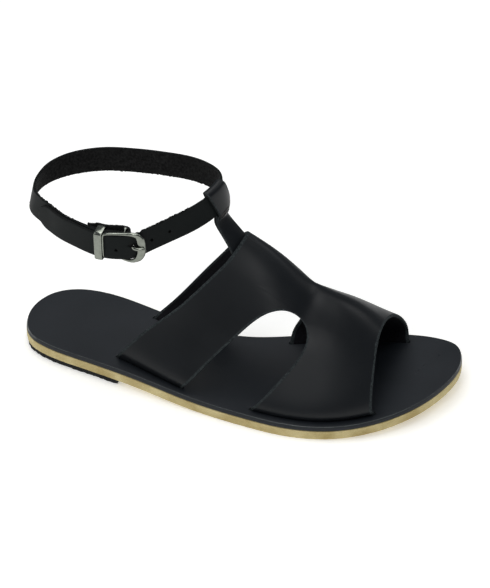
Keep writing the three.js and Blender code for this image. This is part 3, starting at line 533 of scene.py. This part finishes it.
# pattern sizes are in mm, and pore, nap, fibre and grit are drawn coarser than the real ones,
# which are too fine to show in the picture
upperLeather = leatherMaterial("waxedBlackCowhide", {
    "dark": "0b0e11", "light": "12161a", "patch": 38, "roughLow": 0.36, "roughHigh": 0.46,
    "pebble": 0.8, "pebbleStrength": 0.25, "pebbleDepth": 0.04, "pore": 0.25, "poreStrength": 0.2,
    "poreDepth": 0.02, "drape": 26, "drapeStrength": 0.3, "drapeDepth": 0.5, "specular": 0.3,
    "coat": 0.0, "coatRoughness": 0.3})
# rubbed smooth, and a little greyer than the upper
bedLeather = leatherMaterial("burnishedBlackInsoleLeather", {
    "dark": "14181c", "light": "1b2026", "patch": 30, "roughLow": 0.4, "roughHigh": 0.52,
    "pebble": 0.6, "pebbleStrength": 0.25, "pebbleDepth": 0.03, "pore": 0.2, "poreStrength": 0.25,
    "poreDepth": 0.02, "drape": 40, "drapeStrength": 0.2, "drapeDepth": 0.4, "specular": 0.42,
    "coat": 0.0, "coatRoughness": 0.35})
# the insole's rim, rubbed until it shines, its lighter colour a painted highlight along the sloping
# rim
bedRimPaintedHighlight = leatherMaterial("burnishedInsoleRimPaintedHighlight", {
    "dark": "23282a", "light": "4a514e", "patch": 9, "roughLow": 0.2, "roughHigh": 0.34,
    "pebble": 0.6, "pebbleStrength": 0.2, "pebbleDepth": 0.03, "pore": 0.3, "poreStrength": 0.2,
    "poreDepth": 0.02, "drape": 12, "drapeStrength": 0.2, "drapeDepth": 0.3, "specular": 0.8,
    "coat": 0.4, "coatRoughness": 0.2})
# drier than the upper, with hardly any shine
strapLeather = leatherMaterial("waxedBlackStrapLeather", {
    "dark": "0e1212", "light": "151919", "patch": 22, "roughLow": 0.46, "roughHigh": 0.58,
    "pebble": 0.7, "pebbleStrength": 0.35, "pebbleDepth": 0.05, "pore": 0.25, "poreStrength": 0.3,
    "poreDepth": 0.02, "drape": 14, "drapeStrength": 0.25, "drapeDepth": 0.3, "specular": 0.1,
    "coat": 0.0, "coatRoughness": 0.4})
# left rough, with pale and dark specks
fleshSide = fleshMaterial("blackHideFleshSide", {
    "nap": 1.3, "dark": "060606", "light": "222222", "strength": 0.8, "depth": 0.4, "sheen": 0.02})
# sized, so its fibres lie flat and it looks even
smoothFlesh = fleshMaterial("sizedFleshSide", {
    "nap": 1.6, "dark": "0c0c0f", "light": "15151a", "strength": 0.4, "depth": 0.2, "sheen": 0.02})
# cut, dyed and left raw
blackEdge = fleshMaterial("dyedCutEdge", {
    "nap": 0.6, "dark": "0b0c0c", "light": "1c1e1e", "strength": 0.6, "depth": 0.2, "sheen": 0.03})
# cut edge painted a shade lighter than the leather beside it: a thin painted highlight line along the
# edges and their rounded corners
cutEdgePaintedHighlight = fleshMaterial("cutEdgeWithPaintedHighlight", {
    "nap": 0.9, "dark": "1e2224", "light": "3c4243", "strength": 0.4, "depth": 0.12, "sheen": 0.0})
tanEdge = rawEdgeMaterial("undyedSoleLeather", {
    "squash": 3.0, "fibre": 0.55, "blotch": 14, "dark": "ab965f", "light": "dacb98", "depth": 0.2})
liftRubber = rubberMaterial("blackRubberSheet", {
    "grit": 0.8, "dark": "08090a", "light": "1c1e20", "depth": 0.2})
nickel = nickelMaterial("tumbledNickelPlate", {
    "wear": 2.5, "dark": "6b6f67", "light": "969a91", "roughLow": 0.1, "roughHigh": 0.22,
    "wave": 2.0, "depth": 0.08})
threadValues = {"colour": "2c2622", "roughness": 0.6}
thread, _, threadShader, _ = newMaterial("waxedPolyesterThread")     # dull, slightly waxy yarn
threadShader.inputs["Base Color"].default_value = hexColour(threadValues["colour"])
threadShader.inputs["Roughness"].default_value = threadValues["roughness"]
print("materials made")


# the three layers of the sole

soleValues = {"edgeRound": 0.35, "levels": 3, "fibreSize": 1.4, "fibreDepth": 0.22}
outsole = copyOf("outsole", "outsoleLeather")
dress(outsole, tanEdge)
roundOff(outsole, soleValues["edgeRound"], soleValues["levels"])
roughen(outsole, 0, soleValues["fibreSize"], soleValues["fibreDepth"])
finishPiece(outsole, "sole_leather", "outsole")

# the rim is what slopes between rimTop and rimLow, the skin what faces up more than skin says
bedValues = {"edgeRound": 0.3, "levels": 2, "bevelAngle": 35, "rimTop": 0.93, "rimLow": 0.4,
             "skin": 0.2, "margin": 2.5, "calm": 40}
footbed = copyOf("footbed", "footbedLeather", quads=False)
dress(footbed, bedLeather, bedRimPaintedHighlight)
roundOff(footbed, bedValues["edgeRound"], bedValues["levels"], angle=bedValues["bevelAngle"])
calm(footbed, lambda p: p.normal.z > bedValues["skin"], bedValues["margin"], bedValues["calm"])
# the sloping rim faces take the rim material, whose lighter colour is a painted highlight
for polygon in footbed.data.polygons:
    if bedValues["rimLow"] < polygon.normal.z < bedValues["rimTop"]:
        polygon.material_index = 1
finishPiece(footbed, "bed_leather", "footbed")

liftValues = {"edgeRound": 0.3, "levels": 4, "roughSize": 1.8, "roughness": 0.9}
lift = copyOf("heel_lift", "heelLiftRubber")
dress(lift, liftRubber)
roundOff(lift, liftValues["edgeRound"], liftValues["levels"])
roughen(lift, 0, liftValues["roughSize"], liftValues["roughness"])
moveCorners(lift, lambda c: Vector((c.x, c.y, max(c.z, 0))))
finishPiece(lift, "lift_rubber", "heel_lift")


# the upper: grain side out, flesh side in, cut edge all round

upperValues = {"edgeRound": 0.22, "levels": 3, "grainFaces": 0.5, "fleshFaces": -0.4, "margin": 0.8,
               "calm": 50}
upperFolds = [      # the valley between the bands and the fuller part in front of it
    {"line": [(314, 291), (310, 302), (306, 313)], "width": 4, "depth": 0.9},
    {"line": [(326, 293), (345, 301), (368, 313)], "width": 8, "depth": -0.7},
]
apexCrease = {"line": [(248.5, 233), (251.5, 236), (255.5, 240)], "width": 0.7, "depth": 0.45}
upper = copyOf("upper", "upperLeather")
dress(upper, upperLeather, smoothFlesh, cutEdgePaintedHighlight)
paintSides(upper, [
    (0, bestFace(upper, lambda p: p.normal.z > upperValues["grainFaces"], lambda p: p.center.z)),
    (1, bestFace(upper, lambda p: p.normal.z < upperValues["fleshFaces"], lambda p: p.center.z)),
], restSlot=2)
# the rounded corners take slot 2, the cut edge with its painted highlight
roundOff(upper, upperValues["edgeRound"], upperValues["levels"], segments=1, slot=2)
for fold in upperFolds:
    press(upper, fold["line"], fold["width"], fold["depth"])
calm(upper, lambda p: p.material_index < 2, upperValues["margin"], upperValues["calm"])
press(upper, apexCrease["line"], apexCrease["width"], apexCrease["depth"])
finishPiece(upper, "upper_leather", "upper")


# the T strap, and the seam that closes its loop

# faces, left and right are places in the photograph, widens and narrows are heights from right
teeValues = {"edgeRound": 0.3, "levels": 3, "faces": [(216, 200), (219, 184), (232, 232)],
             "left": (226, 226), "right": (238, 226), "widens": (11, 4), "narrows": (2, -8),
             "wider": 0.28, "narrower": 0.5}
tee = copyOf("t_strap", "teeStrapLeather")
teeRight = onPiece(tee, *teeValues["right"])[0]
teeAcross = onPiece(tee, *teeValues["left"])[0] - teeRight


def widenTee(place):
    # the strap below the loop is cut wider towards the heel side
    v = teeValues
    share = smoothRamp((place.z - teeRight.z) / mm, *v["widens"])
    share *= 1 - smoothRamp((place.z - teeRight.z) / mm, *v["narrows"]) * v["narrower"]
    along = (place - teeRight).dot(teeAcross) / teeAcross.length_squared
    return place + teeAcross * along * v["wider"] * share


dress(tee, upperLeather, blackEdge, cutEdgePaintedHighlight)
moveCorners(tee, widenTee)
paintSides(tee, [(0, faceAt(tee, *pixel)) for pixel in teeValues["faces"]], restSlot=1)
# the rounded corners take slot 2, the cut edge with its painted highlight
roundOff(tee, teeValues["edgeRound"], teeValues["levels"], slot=2)
finishPiece(tee, "upper_leather", "t_strap")


# the buckle's own axes: ahead along the strap, outward, and up across the strap

buckleValues = {"fromCentre": (-1.198, 1.927, 0.654), "ahead": (0.9778, 0.1504, 0.1459),
                "outward": (0.1737, -0.9711, -0.1637), "up": (0, 0, 1),
                "ringCurve": (0.01136, 6.2e-5, 5.5e-7)}
frameLow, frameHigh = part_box("buckle_frame")
buckleOrigin = (frameLow + frameHigh) / 2 + Vector(buckleValues["fromCentre"]) * mm
buckleAxes = [Vector(buckleValues[axis]) for axis in ("ahead", "outward", "up")]
buckleMatrix = Matrix([axis * mm for axis in buckleAxes]).transposed()
buckleInverse = buckleMatrix.inverted()


def atBuckle(ahead, outward, up):
    return buckleOrigin + buckleMatrix @ Vector((ahead, outward, up))


def inBuckle(place):
    return buckleInverse @ (place - buckleOrigin)


# the ankle strap: its free end stands out over the bar and hangs a little lower there

# windowBack and windowFront: where along the strap the change sets in and dies out again
# freeFrom and singleFrom: what tells the free end from the folded layers under it
strapValues = {"edgeRound": 0.3, "levels": 3, "endsFace": -0.8, "windowBack": (-34, -9),
               "windowFront": (16, 4), "out": 1.7, "down": 1.05, "freeFrom": 0.9, "singleFrom": 3.0,
               "freeDeep": 3, "layersDeep": 6, "reach": 12, "slotAt": 3.9, "slotHalf": 2.7,
               "slotHigh": 1.45, "slotLong": 0.1, "slotWide": 0.1, "slotAhead": 0.8, "slotSmooth": 4,
               "slant": (-4.0, 2.0), "slantDown": 1.8, "fuzzSize": 1.1, "fuzz": 1.2}
holeValues = {"radius": 0.95, "depth": 2.6, "sides": 20,
              "places": [(116, 250.4), (152, 240), (170, 231.6)]}


def ringSag(ahead):
    # how far the ring of the strap falls away from the buckle's plane
    square, cube, fourth = buckleValues["ringCurve"]
    return -(square * ahead ** 2 + cube * ahead ** 3 + fourth * ahead ** 4)


def strapShift(ahead):
    v = strapValues
    return smoothRamp(ahead, *v["windowBack"]) * smoothRamp(ahead, *v["windowFront"])


def shapeStrap(place):
    v = strapValues
    ahead, outward, up = inBuckle(place)
    if abs(up) > v["reach"] or not v["windowBack"][0] < ahead < v["windowFront"][0]:
        return place
    free = ahead > v["singleFrom"] or outward > ringSag(ahead) + v["freeFrom"]
    if outward < ringSag(ahead) - v["layersDeep"]:
        return place
    if not free or outward < ringSag(ahead) - v["freeDeep"]:
        cut = smoothRamp(ahead, *v["slant"]) * v["slantDown"] * max(up, 0) / v["reach"]
        return atBuckle(ahead, outward, up - v["down"] * strapShift(ahead) - cut)
    if abs(ahead - v["slotAt"]) < v["slotHalf"] and abs(up) < v["slotHigh"]:
        ahead = v["slotAt"] + v["slotAhead"] + (ahead - v["slotAt"]) * v["slotLong"]
        up *= v["slotWide"]
    shift = strapShift(ahead)
    return atBuckle(ahead, outward + v["out"] * shift, up - v["down"] * shift)


def isTorn(face):
    # the loose fibres show along the near top edge and the far lower edge, not round the slot
    ahead, _, up = inBuckle(face.center)
    if abs(up) < strapValues["slotSmooth"] and abs(ahead) < strapValues["reach"]:
        return False
    return face.normal.z > 0 if face.center.y < ringMiddle else face.normal.z < 0


strap = copyOf("ankle_strap", "ankleStrapLeather")
ringLow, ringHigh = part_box("ankle_strap")
ringMiddle = (ringLow.y + ringHigh.y) / 2
dress(strap, strapLeather, fleshSide, blackEdge)
paintSides(strap, [      # the near outside is grain, the far inside is flesh, and both face the camera
    (0, bestFace(strap, lambda p: p.normal.y < strapValues["endsFace"], lambda p: -p.center.y)),
    (1, bestFace(strap, lambda p: p.normal.y < strapValues["endsFace"], lambda p: p.center.y)),
], restSlot=2)
moveCorners(strap, shapeStrap)
roundOff(strap, strapValues["edgeRound"], strapValues["levels"], segments=1)
roughen(strap, 2, strapValues["fuzzSize"], strapValues["fuzz"], inside=isTorn)
for px, py in holeValues["places"]:
    place, normal = onPiece(strap, px, py)
    bpy.ops.mesh.primitive_cylinder_add(vertices=holeValues["sides"], radius=holeValues["radius"] * mm,
                                        depth=holeValues["depth"] * mm, location=place)
    punch = bpy.context.object
    punch.rotation_mode = "QUATERNION"
    punch.rotation_quaternion = normal.to_track_quat("Z", "Y")
    dress(punch, blackEdge)
    applyModifier(strap, "BOOLEAN", object=punch, operation="DIFFERENCE", solver="EXACT",
                  material_mode="TRANSFER")
    bpy.data.objects.remove(punch)
finishPiece(strap, "strap_leather", "ankle_strap")


# buckle frame with its bar, prong and keeper

# rows: ahead, outward, up, width across the rail, thickness
railRows = [
    (9.8, 4.0, -1.3, 4.7, 2.2), (9.6, 4.0, 1.6, 4.6, 2.2), (9.0, 4.0, 4.0, 4.3, 2.2),
    (7.6, 4.0, 6.1, 3.5, 2.1), (5.0, 4.0, 7.2, 2.4, 2.0), (1.6, 3.8, 7.5, 1.7, 1.8),
    (-3.0, 3.5, 7.6, 1.4, 1.7), (-7.5, 3.3, 7.7, 1.3, 1.6), (-10.8, 3.2, 7.5, 1.2, 1.5),
    (-11.8, 3.2, 6.3, 1.0, 1.5), (-11.9, 3.3, 3.0, 0.9, 1.5), (-11.9, 3.3, -3.0, 0.9, 1.5),
    (-11.8, 2.9, -6.6, 0.9, 1.5), (-11.0, 1.6, -8.0, 1.2, 1.5), (-8.0, 0.7, -8.5, 1.3, 1.5),
    (-4.0, 1.3, -9.0, 1.4, 1.6), (0.0, 2.8, -9.8, 1.6, 1.7), (4.2, 3.8, -10.0, 2.2, 1.9),
    (7.4, 4.0, -8.8, 3.3, 2.0), (9.0, 4.0, -6.6, 4.2, 2.2), (9.6, 4.0, -4.2, 4.6, 2.2),
]
# rows: ahead, outward, up, from the top rail round behind the strap to the lower rail
barRows = [
    (0, 3.4, 6.8), (0, 1.0, 6.8), (0, -1.6, 6.6), (0, -2.3, 5.4), (0, -2.3, 0), (0, -2.3, -7.8),
    (0, -1.6, -9.0), (0, 0.6, -9.2), (0, 3.0, -9.8),
]
metalValues = {"railSteps": 6, "railCorner": 2.5, "barSteps": 4, "barRadius": 0.9,
               "postRadius": 0.4, "postFrom": -1, "prongSteps": 5}
aheadSide, outwardSide, upSide = buckleAxes
rows = curveThrough(railRows, True, metalValues["railSteps"])
rail = sweep("buckleFrameNickel", [atBuckle(*row[:3]) for row in rows], [outwardSide] * len(rows),
             [(row[3] / 2 * mm, row[4] / 2 * mm) for row in rows], True, nickel,
             corner=metalValues["railCorner"])
rows = curveThrough(barRows, False, metalValues["barSteps"])
barSizes = [metalValues["postRadius" if row[1] > metalValues["postFrom"] else "barRadius"]
            for row in rows]
bar = sweep("buckleBarNickel", [atBuckle(*row) for row in rows], [aheadSide] * len(rows),
            [(radius * mm, radius * mm) for radius in barSizes], False, nickel)
buckle = joinPieces([rail, bar])
finishPiece(buckle, "buckle_metal", "buckle_frame")

# rows: ahead, outward, up, radius
prongRows = [
    (0.6, -4.0, -0.6, 0.8), (-1.3, -3.6, -0.6, 0.8), (-1.8, -2.2, -0.6, 0.8), (-0.9, -0.7, -0.6, 0.8),
    (1.2, -0.4, -0.7, 0.85), (3.0, 1.3, -0.8, 0.9), (4.3, 3.3, -0.9, 0.95), (5.6, 4.9, -0.9, 1.0),
    (7.4, 5.6, -1.0, 1.0), (9.4, 5.7, -1.1, 1.0), (10.8, 5.5, -1.2, 0.92), (11.4, 5.3, -1.2, 0.7),
    (11.7, 5.2, -1.2, 0.3),
]
rows = curveThrough(prongRows, False, metalValues["prongSteps"])
prong = sweep("prongNickel", [atBuckle(*row[:3]) for row in rows], [upSide] * len(rows),
              [(row[3] * mm, row[3] * mm) for row in rows], False, nickel)
finishPiece(prong, "buckle_metal", "prong")

keeperValues = {"from": -14.4, "to": -14.0, "narrow": 0.98, "frontFrom": 0.4, "out": 1.3,
                "down": 0.95, "low": 0.96, "edgeRound": 0.7, "levels": 2, "bevelAngle": 30,
                "segments": 3}


def shapeKeeper(place):
    v = keeperValues
    ahead, outward, up = inBuckle(place)
    if outward > ringSag(v["from"]) + v["frontFrom"]:
        outward += v["out"]
    return atBuckle(v["to"] + (ahead - v["from"]) * v["narrow"], outward, up * v["low"] - v["down"])


keeper = copyOf("keeper", "keeperNickel")
dress(keeper, nickel)
moveCorners(keeper, shapeKeeper)
roundOff(keeper, keeperValues["edgeRound"], keeperValues["levels"],
         angle=keeperValues["bevelAngle"], segments=keeperValues["segments"])
finishPiece(keeper, "buckle_metal", "keeper")


# stitches through the loop of the T strap

# rows are lines in the photograph, bend and swell are a stitch's shape from end to end, and its
# ends dive by twice its rise
stitchValues = {"rows": [[(221.0, 216.6), (229.0, 206.2)], [(221.6, 218.6), (229.6, 208.2)]],
                "count": 5, "radius": 0.26, "length": 1.9, "rise": 0.1, "sides": 8, "step": 0.02,
                "bend": (-1, -0.6, 0, 0.6, 1), "swell": (0.4, 0.9, 1, 0.9, 0.4)}
stitches = []
v = stitchValues
for (x0, y0), (x1, y1) in v["rows"]:
    for k in range(v["count"]):
        t = (k + 0.5) / v["count"]
        place, normal = onPiece(tee, x0 + (x1 - x0) * t, y0 + (y1 - y0) * t)
        t += v["step"]
        nearBy = onPiece(tee, x0 + (x1 - x0) * t, y0 + (y1 - y0) * t)[0]
        along = (nearBy - place).normalized() * v["length"] / 2 * mm
        middle = place + normal * v["rise"] * mm
        points = [middle + along * u - normal * abs(u) ** 3 * 2 * v["rise"] * mm for u in v["bend"]]
        sizes = [(v["radius"] * mm * q, v["radius"] * mm * q) for q in v["swell"]]
        stitches.append(sweep("teeStitch", points, [normal] * len(points), sizes, False, thread,
                              count=v["sides"]))
stitching = joinPieces(stitches)
stitching.name = "teeStrapStitches"
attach(stitching, "root")
print("made the stitches")


# torn fibres along the raw edges of the ankle strap

# each is a three-sided spike, thicker than a real fibre so that it shows
fibreValues = {"count": 900, "length": (0.3, 1.0), "width": 0.13, "lean": 0.7, "sunk": 0.15,
               "seed": 11}
random.seed(fibreValues["seed"])
edgeFaces = [p for p in strap.data.polygons if p.material_index == 2 and isTorn(p)]
edgeAreas = [p.area for p in edgeFaces]
fibreCorners = []
fibreFaces = []
for face in random.choices(edgeFaces, weights=edgeAreas, k=fibreValues["count"]):
    stray = Vector((random.uniform(-1, 1), random.uniform(-1, 1), random.uniform(-1, 1)))
    rise = (face.normal + stray * fibreValues["lean"]).normalized()
    side = rise.orthogonal().normalized()
    other = rise.cross(side)
    base = face.center - rise * fibreValues["sunk"] * mm
    tip = base + rise * random.uniform(*fibreValues["length"]) * mm
    start = len(fibreCorners)
    for k in range(3):
        turn = 2 * math.pi * k / 3
        fibreCorners.append(base + (side * math.cos(turn) + other * math.sin(turn))
                            * fibreValues["width"] * mm)
    fibreCorners.append(tip)
    fibreFaces += [(start + k, start + (k + 1) % 3, start + 3) for k in range(3)]
    fibreFaces.append((start, start + 2, start + 1))
fibres = newPiece("ankleStrapFibres", fibreCorners, fibreFaces, blackEdge)
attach(fibres, "root")
print("made the fibres")
